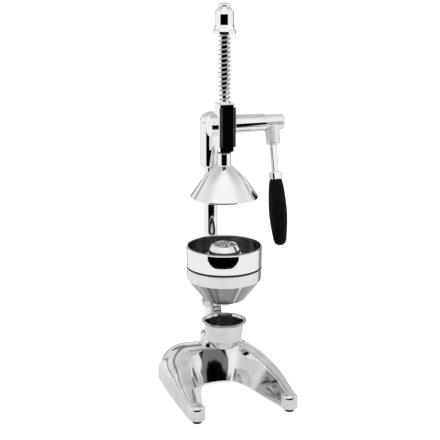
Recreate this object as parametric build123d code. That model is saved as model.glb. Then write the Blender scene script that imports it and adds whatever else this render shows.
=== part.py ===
from build123d import *

import math
import os

# A lever citrus press. All lengths are in millimetres and all angles in degrees.
# The press axis is X = 0, Y = 0: rack, cone, bowl and spout stand on it.
# X points to the lever, Y to the column behind the bowl, and Z up from the table.

# Clearances
running_gap = 0.06  # radial, between a shaft and its bush or guide
rest_gap = 0.3  # between pieces that pass or rest close to each other

# Feet and their screws
foot_height = 5.0
foot_radius = 5.85
foot_screw_radius = 2.0
foot_screw_head_radius = 3.6
foot_screw_head_height = 2.0
foot_screw_recess = 3.0
foot_screw_grip = 9.0

# Base casting
base_half_width = 70.0
base_height = 46.0
base_wall = 4.0
base_back = 97.0
tail_start = 56.0
toe_reach = 77.0
toe_radius = 10.0
toe_height = 22.0
toe_rounding = 7.0
toe_crown = 2.0
ridge_rounding = 3.0
rear_foot_x = 46.0
rear_foot_y = 72.0
foot_boss_radius = 8.0
# The front of the base, from the toes to the tail: share of the way back, inset from
# the full half width, height, and the width and height of the rounded shoulder
base_stations = [
    (0.000, 1.7, 22.0, 9.0, 9.0),
    (0.128, 1.0, 27.5, 11.0, 12.0),
    (0.278, 0.5, 33.0, 14.0, 16.0),
    (0.511, 0.0, 38.5, 18.0, 20.0),
    (0.692, 0.0, 42.0, 24.0, 26.0),
    (0.895, 0.5, 45.5, 32.0, 33.0),
    (1.000, 1.2, 46.0, 36.0, 36.0),
]
tail_steps = (0.3, 0.55, 0.75, 0.88, 0.96, 0.99)
tail_roundness = 2.4
tail_drop = 0.97

# Glass bay between the arms of the base, at the lower rim
arm_at_corner = 51.6
arm_at_side = 38.8
toe_to_bay = 9.17
bay_corner_y = 23.4
bay_back = 26.5
bay_side_y = -4.0
# How far the walls of the bay lean back for each millimetre of height
bay_corner_lean_x = 0.384
bay_corner_lean_y = 0.411
bay_back_lean = 0.35
bay_side_lean = 0.43

# Column
column_radius = 8.4
column_foot = 22.0
column_top = 335.0
column_boss_radius = 14.0
column_boss_top = 63.0
column_boss_bottom = 14.0
column_chamfer = 1.0
boss_rounding = 3.0
boss_screw_z = 55.0
column_bolt_radius = 4.0
column_bolt_length = 30.0
bolt_head_width = 13.0
bolt_head_height = 5.3
washer_radius = 9.0
washer_thickness = 1.6
grub_screw_radius = 2.5
grub_key_width = 2.5
grub_key_depth = 2.5

# Bowl, its seal and the funnel that holds them
bowl_radius = 46.2
bowl_bottom_radius = 45.7
bowl_wall = 1.2
bowl_top = 193.0
bowl_bottom = 167.5
bowl_lip = 2.0
bowl_floor_height = 2.5
bowl_spigot_length = 6.0
bowl_edge = 0.8
drain_hole_radius = 2.0
drain_rings = ((31.0, 10), (37.5, 14))
seal_thickness = 2.0
bowl_to_column = 0.5
funnel_wall = 2.5
funnel_band_bottom = 151.0
funnel_band_radius = 45.0
funnel_neck_radius = 24.3
funnel_bottom = 124.0
spout_radius = 8.0
spout_bore_radius = 5.5
spout_tip = 117.3
sleeve_radius = 12.5
sleeve_bottom = 114.0
sleeve_rib = 8.0
sleeve_below_band = 1.0
funnel_rounding = 6.0
funnel_crease = 1.2
spout_rounding = 1.5
clamp_screw_z = 132.0
clamp_screw_radius = 3.0
clamp_head_radius = 5.0
clamp_head_height = 5.0

# Perforated reamer dome in the bowl
reamer_wall = 1.2
reamer_foot_radius = 26.0
reamer_skirt_radius = 22.2
reamer_step_radius = 19.6
reamer_shoulder_radius = 19.2
reamer_cap_radius = 15.0
reamer_step_height = 12.5
reamer_shoulder_height = 17.5
reamer_cap_height = 24.0
reamer_height = 25.6
reamer_rounding = 3.0
reamer_hole_radius = 1.0
reamer_rings = ((0.0, 1), (5.0, 6), (10.0, 12))

# Press cone and the pieces on the rack below the guide
cone_radius = 40.8
cone_rim_z = 252.5
cone_wall = 2.2
cone_shoulder_reach = 14.3  # outwards from the neck
cone_shoulder_drop = 11.8  # below the neck
cone_rounding = 80.0
cone_lip_radius = 1.6
neck_radius = 8.35
neck_edge = 0.8
neck_bottom = 292.5
neck_top = 307.5
stop_washer_radius = 8.4
cone_stud_radius = 4.0
cone_stud_end = 277.5
cone_crown_thickness = 5.0
nut_width = 13.0
nut_height = 6.5

# Rack, guide and return spring
rack_radius = 5.2
rack_travel = 52.0
guide_bottom = 310.5
guide_top = 367.8
guide_width = 20.3
guide_front = 13.7
guide_back = 10.4
guide_corner = 3.35
guide_rounding = 0.8
plate_width = 20.0
plate_bottom = 316.1
plate_top = 363.5
plate_edge = 0.8
spring_radius = 7.6
spring_wire = 1.6
spring_turns = 15.5

# Knob
knob_top = 485.0
knob_body_height = 30.9
knob_flare_radius = 13.9
knob_lip = 1.2
knob_lip_rounding = 0.6
knob_waist_radius = 11.2
knob_waist_height = 6.2
knob_waist_rounding = 8.0
knob_bend_radius = 11.05
knob_bend_drop = 5.6  # below the shoulder
knob_bend_rounding = 14.0
knob_shoulder_radius = 6.6
knob_groove_radius = 6.0
knob_groove = 0.6
knob_tip_height = 5.1
knob_tip_radius = 6.5
knob_tip_crown = 1.0
knob_tip_rounding = 2.4
knob_recess_depth = 3.0
knob_recess_gap = 0.6
knob_stud_radius = 4.0
knob_stud_length = 20.0

# Gear pair, shaft and barrel
gear_module = 1.25
pinion_teeth = 16
pressure_angle = 20.0
addendum_share = 0.9  # of the module, on the rack only, to keep clear of undercut
backlash = 0.16
flank_steps = 4
root_depth_share = 0.88  # how far inside the base circle a tooth starts
pinion_face = 12.0
shaft_z = 338.3
shaft_radius = 6.0
shaft_left = 13.2
gear_side_gap = 0.4
cavity_gap = 0.35
barrel_left = 15.6
barrel_right = 54.8
barrel_big_radius = 13.6
barrel_shoulder_radius = 11.7
barrel_end_radius = 10.85
barrel_shoulder_x = 15.0
cap_thickness = 3.0
cap_rounding = 2.4
bush_radius = 8.5
bush_length = 12.6
pin_radius = 1.25
pin_half_length = 8.2

# Head casting round the column
socket_radius = 13.5
socket_bottom = 279.0
socket_crown = 348.0
web_thickness = 11.0
web_foot = 290.0
web_drop = 7.0  # of its top, from the barrel to the column
web_rounding = 4.0
head_screw_z = 300.0

# Lever
lever_x = 64.4
lever_lean = 14.0
hub_radius = 9.6
hub_right = 80.0
hub_rounding = 4.5
hub_edge = 0.6
elbow_radius = 9.25
elbow_end_radius = 8.5
elbow_length = 28.0
elbow_rounding = 3.0
rod_radius = 4.5
rod_root = 12.0
ferrule_start = 60.3
ferrule_length = 9.3
ferrule_radius = 8.0
ferrule_recess = 1.2
ferrule_rounding = 1.6
grip_length = 80.7
rod_in_grip = 60.0
# Grip profile: share of the grip's length, and radius
grip_stations = [
    (0.000, 7.6),
    (0.030, 8.0),
    (0.090, 9.0),
    (0.200, 10.0),
    (0.315, 10.7),
    (0.430, 11.1),
    (0.545, 11.15),
    (0.680, 10.4),
    (0.810, 9.15),
    (0.915, 8.0),
    (0.962, 6.6),
    (0.990, 3.6),
]

# Drip cup on its swivel arm
cup_rim = 97.0
cup_lip_radius = 27.7
cup_throat_radius = 24.0
cup_throat_z = 94.0
cup_knee_radius = 21.8
cup_knee_z = 71.0
cup_knee_rounding = 9.0
cup_base_radius = 12.0
cup_base_rounding = 5.0
cup_bottom = 61.5
cup_wall = 1.0
arm_ring_bottom = 101.5
arm_ring_top = 106.0
arm_ring_radius = 11.6
arm_width = 11.0
arm_thickness = 2.0
strap_bend = 2.0
strap_end = 77.5
stop_ring_radius = 11.0
stop_ring_height = 3.0
rivet_radius = 1.5
rivet_head_radius = 2.6
rivet_head_height = 1.0
rivet_heights = (87.0, 80.5)

# Sizes that follow from the driving ones
column_y = bowl_radius + bowl_to_column + column_radius
pitch_radius = gear_module * pinion_teeth / 2
rack_addendum = addendum_share * gear_module
dedendum = 1.25 * gear_module
tooth_pitch = math.pi * gear_module
pinion_tip_radius = pitch_radius + gear_module
rack_pitch_line = rack_radius - rack_addendum
shaft_y = rack_pitch_line + pitch_radius
cavity_radius = pinion_tip_radius + cavity_gap
cavity_half_width = pinion_face / 2 + gear_side_gap
spring_mean_radius = spring_radius - spring_wire / 2
guide_bore_radius = rack_radius + running_gap
knob_shoulder = knob_top - knob_tip_height
knob_bottom = knob_shoulder - knob_body_height
spring_seat_z = knob_bottom + knob_recess_depth
rack_top = knob_bottom + knob_recess_depth + knob_stud_length
stop_washer_thickness = guide_bottom - neck_top - rest_gap
holder_rim = bowl_bottom - seal_thickness
holder_bore_radius = bowl_bottom_radius - funnel_wall
spigot_radius = holder_bore_radius - rest_gap
bowl_floor = bowl_bottom + bowl_floor_height
toe_x = base_half_width - base_stations[0][1] - toe_radius
bay_corner_x = base_half_width - arm_at_corner
bay_side_x = base_half_width - arm_at_side
bay_splay = (toe_x - toe_to_bay - bay_side_x) / (toe_reach + bay_side_y)
sleeve_top = funnel_band_bottom - sleeve_below_band
washer_bottom = column_boss_bottom - washer_thickness
column_bolt_top = washer_bottom + column_bolt_length
cap_face = cap_thickness - barrel_left
socket_rim = socket_crown - socket_radius
hub_left = barrel_right + rest_gap
shaft_right = hub_right - hub_radius / 2 - hub_edge
grip_start = ferrule_start + ferrule_length
strap_back = cup_throat_radius + arm_thickness
column_axis = Pos(0, column_y, 0)
shaft_axis = Pos(0, shaft_y, shaft_z) * Rot(0, 90, 0)
lever_place = Pos(lever_x, shaft_y, shaft_z) * Rot(-lever_lean, 0, 0)

# The finished press stands with the middle of its footprint's box at the origin
origin_x = (base_half_width - hub_right) / 2
origin_y = (toe_reach + toe_radius - base_back) / 2


def outline(*corners):
    """A closed outline in the upright XZ plane, from (x, z) or (x, z, rounding) corners."""
    points = [corner[:2] for corner in corners]
    radii = [corner[2] if len(corner) == 3 else 0 for corner in corners]
    return Plane.XZ * make_face(FilletPolyline(*points, radius=radii, close=True).edges())


def turned(*corners):
    """A piece turned about the Z axis from (radius, z) or (radius, z, rounding) corners."""
    return revolve(outline(*corners), Axis.Z)


def rod(radius, bottom, top):
    """A round bar on the Z axis between two heights."""
    return Pos(0, 0, bottom) * extrude(Circle(radius), top - bottom)


def tube(outer, inner, bottom, top):
    """A round tube on the Z axis between two heights."""
    return rod(outer, bottom, top) - rod(inner, bottom, top)


def hex_prism(width, bottom, top):
    """A hexagon bar across flats on the Z axis between two heights."""
    shape = RegularPolygon(width / 2, 6, major_radius=False)
    return Pos(0, 0, bottom) * extrude(shape, top - bottom)


def grub_screw(length):
    """A headless set screw pointing along +Z from its tip at the origin."""
    key = hex_prism(grub_key_width, length - grub_key_depth, length)
    return rod(grub_screw_radius, 0, length) - key


def on_ring(radius, count):
    """Evenly spaced places on a ring about the Z axis."""
    return [Rot(0, 0, 360 * i / count) * Pos(radius, 0, 0) for i in range(count)]


# Base -----------------------------------------------------------------------------


def arch(y, half_width, height, shoulder_width, shoulder_height, floor):
    """An upright cross-section of the base, with straight sides and rounded shoulders."""
    flat = half_width - shoulder_width
    side_top = height - shoulder_height
    edges = [
        Line((-half_width, floor), (half_width, floor)),
        Line((half_width, floor), (half_width, side_top)),
        EllipticalCenterArc((flat, side_top), shoulder_width, shoulder_height, 0, arc_size=90),
        Line((flat, height), (-flat, height)),
        EllipticalCenterArc((-flat, side_top), shoulder_width, shoulder_height, 90, arc_size=90),
        Line((-half_width, side_top), (-half_width, floor)),
    ]
    return Plane.XZ.offset(-y) * make_face(edges)


def base_body(inset, floor):
    """The closed outer form of the base, or its hollow when it is inset by the wall."""
    sections = []
    for share, narrowing, height, width, drop in base_stations:
        y = -toe_reach + share * (toe_reach + tail_start)
        half_width = base_half_width - narrowing - inset
        rounding = (width - inset / 2, drop - inset / 2)
        sections.append(arch(y, half_width, height - inset, *rounding, floor))
    full_width = base_half_width - base_stations[-1][1] - inset
    shoulder_share = base_stations[-1][3] / (base_half_width - base_stations[-1][1])
    side_height = base_height - base_stations[-1][4]
    for step in tail_steps:
        closing = (1 - step**tail_roundness) ** (1 / tail_roundness)
        falling = (1 - (tail_drop * step) ** tail_roundness) ** (1 / tail_roundness)
        y = tail_start + step * (base_back - inset - tail_start)
        half_width = full_width * closing
        height = (base_height - inset - side_height) * falling + side_height
        sections.append(
            arch(y, half_width, height, half_width * shoulder_share, height - side_height, floor)
        )
    return loft(sections)


def bay_face(rise, grow):
    """The plan of the glass bay at one rise above the rim, widened by grow all round."""
    z = foot_height + rise
    side_x = bay_side_x + bay_side_lean * rise + grow
    corner = (
        bay_corner_x + bay_corner_lean_x * rise + grow,
        bay_corner_y + bay_corner_lean_y * rise + grow,
    )
    back = (0, bay_back + bay_back_lean * rise + grow)
    front_y = -toe_reach - 3 * toe_radius
    front_x = side_x + (bay_side_y - front_y) * bay_splay
    left_corner = (-corner[0], corner[1])
    edges = [
        Line((-front_x, front_y), (front_x, front_y)),
        Line((front_x, front_y), (side_x, bay_side_y)),
        TangentArc((side_x, bay_side_y), corner, tangent=(-bay_splay, 1)),
        ThreePointArc(corner, back, left_corner),
        TangentArc((-side_x, bay_side_y), left_corner, tangent=(bay_splay, 1)),
        Line((-side_x, bay_side_y), (-front_x, front_y)),
    ]
    return Pos(0, 0, z) * make_face(edges)


def bay(grow):
    """The space between the arms, whose walls lean back as they rise."""
    below = -foot_height
    above = base_height
    return loft([bay_face(below, grow), bay_face(above, grow)], ruled=True)


def make_base_casting():
    body = base_body(0, foot_height)
    whole = body
    body -= bay(0)
    ridge = [
        edge
        for edge in body.edges()
        if edge.center().Z > foot_height + toe_rounding
        and edge.length > 2 * ridge_rounding
        and abs(edge.center().X) < bay_side_x + bay_side_lean * base_height
        and edge.bounding_box().min.Z > toe_height - ridge_rounding
        and -toe_reach + 1 < edge.center().Y < tail_start - 2
    ]
    body = fillet(ridge, ridge_rounding)
    solid_toes = Pos(0, -toe_reach, base_height / 2) * Box(
        2 * base_half_width, 2 * (toe_radius + base_wall), 2 * base_height
    )
    body -= base_body(base_wall, 0) - bay(base_wall) - solid_toes
    toe = turned(
        (0, foot_height),
        (toe_radius, foot_height),
        (toe_radius, toe_height, toe_rounding),
        (0, toe_height + toe_crown),
    )
    body += [Pos(side * toe_x, -toe_reach, 0) * toe for side in (-1, 1)]
    bosses = [
        Pos(side * rear_foot_x, rear_foot_y, 0) * rod(foot_boss_radius, foot_height, base_height)
        for side in (-1, 1)
    ]
    pillar = column_axis * rod(column_boss_radius, column_boss_bottom, base_height)
    body += [whole & piece for piece in (*bosses, pillar)]
    collar = turned(
        (0, column_foot),
        (column_boss_radius, column_foot),
        (column_boss_radius, column_boss_top, boss_rounding),
        (0, column_boss_top),
    )
    body += column_axis * collar
    body -= column_axis * rod(column_radius, column_foot, column_boss_top)
    body -= column_axis * rod(column_bolt_radius, column_boss_bottom, column_foot)
    body -= behind_column(boss_screw_z) * rod(grub_screw_radius, column_radius, column_boss_radius)
    tapped = rod(foot_screw_radius, foot_height, foot_height + foot_screw_grip)
    return body - [place * tapped for place in foot_places()]


def foot_places():
    """Where the four feet stand: under the toes and under the rear corners."""
    spots = ((toe_x, -toe_reach), (rear_foot_x, rear_foot_y))
    return [Pos(side * x, y, 0) for x, y in spots for side in (-1, 1)]


def make_rubber_feet():
    foot = rod(foot_radius, 0, foot_height)
    foot -= rod(foot_screw_head_radius, 0, foot_screw_recess)
    foot -= rod(foot_screw_radius, 0, foot_height)
    return [place * foot for place in foot_places()]


def make_foot_screws():
    head_bottom = foot_screw_recess - foot_screw_head_height
    screw = rod(foot_screw_head_radius - rest_gap, head_bottom, foot_screw_recess)
    screw += rod(foot_screw_radius, foot_screw_recess, foot_height + foot_screw_grip)
    screw -= hex_prism(foot_screw_radius, head_bottom, foot_screw_recess)
    return [place * screw for place in foot_places()]


# Column ---------------------------------------------------------------------------


def make_column():
    bar = rod(column_radius, column_foot, column_top)
    bar = chamfer(bar.edges().group_by(Axis.Z)[-1], column_chamfer)
    bar -= rod(column_bolt_radius, column_foot, column_bolt_top)
    return column_axis * bar


def make_column_bolt():
    head = hex_prism(bolt_head_width, washer_bottom - bolt_head_height, washer_bottom)
    return column_axis * (head + rod(column_bolt_radius, washer_bottom, column_bolt_top))


def make_column_washer():
    return column_axis * tube(washer_radius, column_bolt_radius, washer_bottom, column_boss_bottom)


def behind_column(z):
    """The place on the column's axis where a screw points at it from the back."""
    return Pos(0, column_y, z) * Rot(-90, 0, 0)


def column_screw(z, length):
    """A headless set screw that bears on the back of the column."""
    return behind_column(z) * Pos(0, 0, column_radius) * grub_screw(length)


def make_boss_set_screw():
    return column_screw(boss_screw_z, column_boss_radius - column_radius - rest_gap)


def make_head_set_screw():
    return column_screw(head_screw_z, socket_radius - column_radius - rest_gap)


# Head casting ---------------------------------------------------------------------


def guide_block():
    """The upright guide with rounded corners and the wider flat plate on its front."""
    depth = guide_front + guide_back
    middle_y = (guide_back - guide_front) / 2
    block = extrude(RectangleRounded(guide_width, depth, guide_corner), guide_top - guide_bottom)
    block = fillet(block.edges().group_by(Axis.Z)[-1], guide_rounding)
    plate = Box(
        plate_width,
        guide_corner,
        plate_top - plate_bottom,
        align=(Align.CENTER, Align.MIN, Align.MIN),
    )
    plate = fillet(plate.edges().filter_by(Axis.Z), plate_edge)
    return Pos(0, middle_y, guide_bottom) * block + Pos(0, -guide_front, plate_bottom) * plate


def web():
    """The rib behind the guide that joins it and the barrel to the column socket."""
    top = shaft_z + barrel_big_radius - web_rounding
    edges = [
        Line((column_y, web_foot), (column_y, top - web_drop)),
        Line((column_y, top - web_drop), (shaft_y, top)),
        Line((shaft_y, top), (guide_back - web_rounding, guide_bottom + web_rounding)),
        TangentArc(
            (guide_back - web_rounding, guide_bottom + web_rounding),
            (column_y, web_foot),
            tangent=(1, 0.1),
        ),
    ]
    return extrude(Plane.YZ * make_face(edges), web_thickness / 2, both=True)


def make_head_casting():
    socket = turned(
        (0, socket_bottom),
        (socket_radius, socket_bottom, boss_rounding),
        (socket_radius, socket_rim),
        (0, socket_rim),
    )
    casting = column_axis * (socket + Pos(0, 0, socket_rim) * Sphere(socket_radius))
    barrel = turned(
        (0, cap_face),
        (barrel_big_radius, cap_face),
        (barrel_big_radius, cavity_half_width),
        (barrel_shoulder_radius, barrel_shoulder_x),
        (barrel_end_radius, barrel_right),
        (0, barrel_right),
    )
    casting += [guide_block(), web(), shaft_axis * barrel]
    casting -= shaft_axis * rod(cavity_radius, cap_face, cavity_half_width)
    casting -= shaft_axis * rod(bush_radius, cavity_half_width, barrel_right)
    casting -= rod(guide_bore_radius, guide_bottom, guide_top)
    casting -= column_axis * rod(column_radius, socket_bottom, column_top)
    casting -= behind_column(head_screw_z) * rod(grub_screw_radius, column_radius, socket_radius)
    return casting


def make_barrel_cap():
    cap = turned(
        (0, -barrel_left),
        (barrel_big_radius, -barrel_left, cap_rounding),
        (barrel_big_radius, cap_face),
        (cavity_radius, cap_face),
        (cavity_radius, -cavity_half_width),
        (0, -cavity_half_width),
    )
    cap -= rod(shaft_radius + running_gap, -shaft_left - rest_gap, -cavity_half_width)
    return shaft_axis * cap


def make_shaft_bushes():
    bore = shaft_radius + running_gap
    starts = (cavity_half_width, barrel_right - bush_length)
    return [shaft_axis * tube(bush_radius, bore, start, start + bush_length) for start in starts]


# Gear pair ------------------------------------------------------------------------


def gear_tooth():
    """One involute pinion tooth, pointing along -Y, from inside the root to the tip."""
    base_radius = pitch_radius * math.cos(math.radians(pressure_angle))
    thickness = tooth_pitch / 2 - backlash / 2
    involute_at_pitch = math.tan(math.radians(pressure_angle)) - math.radians(pressure_angle)
    flank = []
    for step in range(flank_steps + 1):
        radius = base_radius + (pinion_tip_radius - base_radius) * step / flank_steps
        roll = math.acos(base_radius / radius)
        half = thickness / (2 * pitch_radius) + involute_at_pitch - (math.tan(roll) - roll)
        flank.append((radius * math.sin(half), -radius * math.cos(half)))
    root_x = flank[0][0] * root_depth_share
    root_y = flank[0][1] * root_depth_share
    mirrored = [(-x, y) for x, y in flank]
    edges = [
        Line((root_x, root_y), flank[0]),
        Spline(*flank),
        ThreePointArc(flank[-1], (0, -pinion_tip_radius), mirrored[-1]),
        Spline(*mirrored),
        Line(mirrored[0], (-root_x, root_y)),
        Line((-root_x, root_y), (root_x, root_y)),
    ]
    return make_face(edges)


def make_pinion_pin():
    return shaft_axis * Rot(0, 90, 0) * rod(pin_radius, -pin_half_length, pin_half_length)


def make_pinion_gear():
    profile = Circle(pitch_radius - dedendum)
    profile += [Rot(0, 0, 360 * i / pinion_teeth) * gear_tooth() for i in range(pinion_teeth)]
    profile -= Circle(shaft_radius)
    return shaft_axis * extrude(profile, pinion_face / 2, both=True) - make_pinion_pin()


def make_pinion_shaft():
    return shaft_axis * rod(shaft_radius, -shaft_left, shaft_right) - make_pinion_pin()


def rack_grooves():
    """The tooth spaces across the back of the rack, in mesh with the pinion at rest."""
    slope = math.tan(math.radians(pressure_angle))
    half = (tooth_pitch + backlash) / 4
    top = rack_radius + rest_gap
    root = rack_pitch_line - dedendum
    half_top = half + (top - rack_pitch_line) * slope
    half_root = half - dedendum * slope
    groove = Plane.YZ * make_face(
        Polyline((root, -half_root), (top, -half_top), (top, half_top), (root, half_root), close=True)
    )
    cutter = extrude(groove, rack_radius, both=True)
    reach = math.sqrt(pinion_tip_radius**2 - (shaft_y - rack_radius) ** 2)
    first = -math.ceil(reach / tooth_pitch)
    last = math.ceil((rack_travel + reach) / tooth_pitch)
    return [Pos(0, 0, shaft_z + i * tooth_pitch) * cutter for i in range(first, last + 1)]


def make_rack_rod():
    bar = rod(cone_stud_radius, cone_stud_end, neck_top)
    bar += rod(rack_radius, neck_top, spring_seat_z)
    bar += rod(knob_stud_radius, spring_seat_z, rack_top)
    return bar - rack_grooves()


# Rack ends, spring and press cone ---------------------------------------------------


def make_knob():
    knob = turned(
        (0, knob_bottom),
        (knob_flare_radius, knob_bottom, knob_lip_rounding),
        (knob_flare_radius, knob_bottom + knob_lip, knob_lip_rounding),
        (knob_waist_radius, knob_bottom + knob_waist_height, knob_waist_rounding),
        (knob_bend_radius, knob_shoulder - knob_bend_drop, knob_bend_rounding),
        (knob_shoulder_radius, knob_shoulder),
        (knob_groove_radius, knob_shoulder),
        (knob_groove_radius, knob_shoulder + knob_groove),
        (knob_tip_radius, knob_shoulder + knob_groove),
        (knob_tip_radius, knob_top - knob_tip_crown, knob_tip_rounding),
        (0, knob_top),
    )
    knob -= rod(spring_radius + knob_recess_gap, knob_bottom, spring_seat_z)
    return knob - rod(knob_stud_radius, spring_seat_z, rack_top)


def make_return_spring():
    bottom = guide_top + spring_wire / 2
    height = spring_seat_z - spring_wire / 2 - bottom
    helix = Helix(height / spring_turns, height, spring_mean_radius)
    wire = Plane(origin=helix @ 0, z_dir=helix % 0) * Circle(spring_wire / 2)
    return Pos(0, 0, bottom) * sweep(wire, path=helix, is_frenet=True)


def make_stop_washer():
    return tube(stop_washer_radius, rack_radius, neck_top, neck_top + stop_washer_thickness)


def make_press_cone():
    neck = Vector(neck_radius, neck_bottom)
    shoulder = neck + Vector(cone_shoulder_reach, -cone_shoulder_drop)
    rim = Vector(cone_radius, cone_rim_z + cone_lip_radius)
    across = [Vector(run.Y, -run.X).normalized() for run in (shoulder - neck, rim - shoulder)]
    bend = shoulder + (across[0] + across[1]) * (cone_wall / (1 + across[0].dot(across[1])))
    crown = neck_bottom - cone_crown_thickness
    crown_radius = bend.X - (crown - bend.Y) * cone_shoulder_reach / cone_shoulder_drop
    cone = turned(
        (cone_stud_radius, neck_top),
        (neck_radius, neck_top, neck_edge),
        (neck.X, neck.Y, cone_lip_radius),
        (shoulder.X, shoulder.Y, cone_rounding),
        (rim.X, rim.Y),
        (rim.X - cone_wall, rim.Y),
        (bend.X, bend.Y, cone_rounding),
        (crown_radius, crown, cone_lip_radius),
        (cone_stud_radius, crown),
    )
    lip = Torus(cone_radius - cone_lip_radius, cone_lip_radius)
    return cone + Pos(0, 0, rim.Y) * lip


def make_cone_nut():
    top = neck_bottom - cone_crown_thickness
    nut = hex_prism(nut_width, top - nut_height, top)
    return nut - rod(cone_stud_radius, top - nut_height, top)


# Bowl, reamer and funnel --------------------------------------------------------------


def make_funnel_holder():
    body = turned(
        (0, spout_tip),
        (spout_radius, spout_tip, spout_rounding),
        (spout_radius, funnel_bottom),
        (funnel_neck_radius, funnel_bottom, funnel_rounding),
        (funnel_band_radius, funnel_band_bottom, funnel_crease),
        (bowl_bottom_radius, holder_rim, funnel_crease),
        (0, holder_rim),
    )
    hollow = turned(
        (0, funnel_bottom + funnel_wall),
        (funnel_neck_radius - funnel_wall, funnel_bottom + funnel_wall, funnel_rounding),
        (holder_bore_radius, funnel_band_bottom + funnel_wall, funnel_crease),
        (holder_bore_radius, holder_rim),
        (0, holder_rim),
    )
    sleeve = turned(
        (0, sleeve_bottom),
        (sleeve_radius, sleeve_bottom, spout_rounding),
        (sleeve_radius, sleeve_top, spout_rounding),
        (0, sleeve_top),
    )
    rib_face = Plane.YZ * make_face(
        Polyline(
            (spout_radius, funnel_bottom),
            (column_y, sleeve_bottom + funnel_wall),
            (column_y, sleeve_top - funnel_wall),
            (spout_radius, sleeve_top - funnel_wall),
            close=True,
        )
    )
    body += [column_axis * sleeve, extrude(rib_face, sleeve_rib / 2, both=True)]
    body -= [hollow, rod(spout_bore_radius, spout_tip, funnel_bottom + funnel_wall)]
    body -= column_axis * rod(column_radius, sleeve_bottom, sleeve_top)
    return body - behind_column(clamp_screw_z) * rod(clamp_screw_radius, column_radius, sleeve_radius)


def make_holder_clamp_screw():
    head_end = sleeve_radius + clamp_head_height
    screw = rod(clamp_screw_radius, column_radius, sleeve_radius)
    screw += rod(clamp_head_radius, sleeve_radius, head_end)
    screw -= hex_prism(clamp_head_height, head_end - clamp_head_height / 2, head_end)
    return behind_column(clamp_screw_z) * screw


def make_bowl_seal():
    return tube(bowl_bottom_radius, holder_bore_radius, holder_rim, bowl_bottom)


def make_strainer_bowl():
    inner_spigot = spigot_radius - bowl_wall
    spigot_end = bowl_bottom - bowl_spigot_length
    bowl = turned(
        (0, bowl_floor - bowl_wall),
        (inner_spigot, bowl_floor - bowl_wall),
        (inner_spigot, spigot_end),
        (spigot_radius, spigot_end),
        (spigot_radius, bowl_bottom),
        (bowl_bottom_radius, bowl_bottom, bowl_edge),
        (bowl_radius, bowl_top, bowl_edge),
        (bowl_radius - bowl_lip, bowl_top, bowl_edge),
        (bowl_radius - bowl_lip, bowl_top - bowl_lip),
        (bowl_radius - bowl_wall, bowl_top - 2 * bowl_lip),
        (bowl_bottom_radius - bowl_wall, bowl_floor, 2 * bowl_edge),
        (0, bowl_floor),
    )
    hole = rod(drain_hole_radius, bowl_floor - bowl_wall, bowl_floor)
    return bowl - [place * hole for radius, count in drain_rings for place in on_ring(radius, count)]


def make_reamer_dome():
    foot = turned(
        (0, 0),
        (reamer_foot_radius, 0),
        (reamer_foot_radius, reamer_wall),
        (reamer_skirt_radius, reamer_wall, reamer_wall),
        (reamer_step_radius, reamer_step_height - 2 * reamer_wall),
        (reamer_step_radius + reamer_wall, reamer_step_height - 2 * reamer_wall, reamer_wall / 3),
        (reamer_step_radius + reamer_wall, reamer_step_height, reamer_wall / 3),
        (reamer_shoulder_radius, reamer_step_height),
        (reamer_shoulder_radius, reamer_shoulder_height, reamer_rounding),
        (reamer_cap_radius, reamer_cap_height, reamer_wall),
        (0, reamer_height),
    )
    hollow = turned(
        (0, 0),
        (reamer_skirt_radius - reamer_wall, 0),
        (reamer_step_radius - reamer_wall, reamer_step_height - 2 * reamer_wall),
        (reamer_shoulder_radius - reamer_wall, reamer_step_height),
        (reamer_shoulder_radius - reamer_wall, reamer_shoulder_height, reamer_rounding - reamer_wall / 2),
        (reamer_cap_radius - reamer_wall, reamer_cap_height - reamer_wall),
        (0, reamer_height - reamer_wall),
    )
    hole = rod(reamer_hole_radius, reamer_shoulder_height, reamer_height)
    holes = [place * hole for radius, count in reamer_rings for place in on_ring(radius, count)]
    return Pos(0, 0, bowl_floor) * (foot - hollow - holes)


# Drip cup ---------------------------------------------------------------------------


def cup_radius(z, inset):
    """The radius of the cup's side wall at one height, on or inside its outer face."""
    share = (z - cup_knee_z) / (cup_throat_z - cup_knee_z)
    return cup_knee_radius + share * (cup_throat_radius - cup_knee_radius) - inset


def rivet_places():
    """Where the rivets cross the back wall of the cup and the strap, pointing back."""
    return [(z, Pos(0, 0, z) * Rot(-90, 0, 0)) for z in rivet_heights]


def rivet_bores():
    """Round holes for the rivets through the wall of the cup and the strap."""
    return [place * rod(rivet_radius, cup_base_radius, strap_back) for _, place in rivet_places()]


def make_drip_cup():
    body = turned(
        (0, cup_bottom),
        (cup_base_radius, cup_bottom, cup_base_rounding),
        (cup_knee_radius, cup_knee_z, cup_knee_rounding),
        (cup_throat_radius, cup_throat_z, cup_wall),
        (cup_lip_radius, cup_rim - cup_wall, cup_wall / 3),
        (cup_lip_radius, cup_rim, cup_wall / 3),
        (cup_throat_radius, cup_rim, cup_wall),
        (cup_throat_radius - cup_wall, cup_throat_z, cup_wall),
        (cup_knee_radius - cup_wall, cup_knee_z + cup_wall / 2, cup_knee_rounding - cup_wall),
        (cup_base_radius - cup_wall / 2, cup_bottom + cup_wall, cup_base_rounding - cup_wall),
        (0, cup_bottom + cup_wall),
    )
    return body - rivet_bores()


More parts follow.
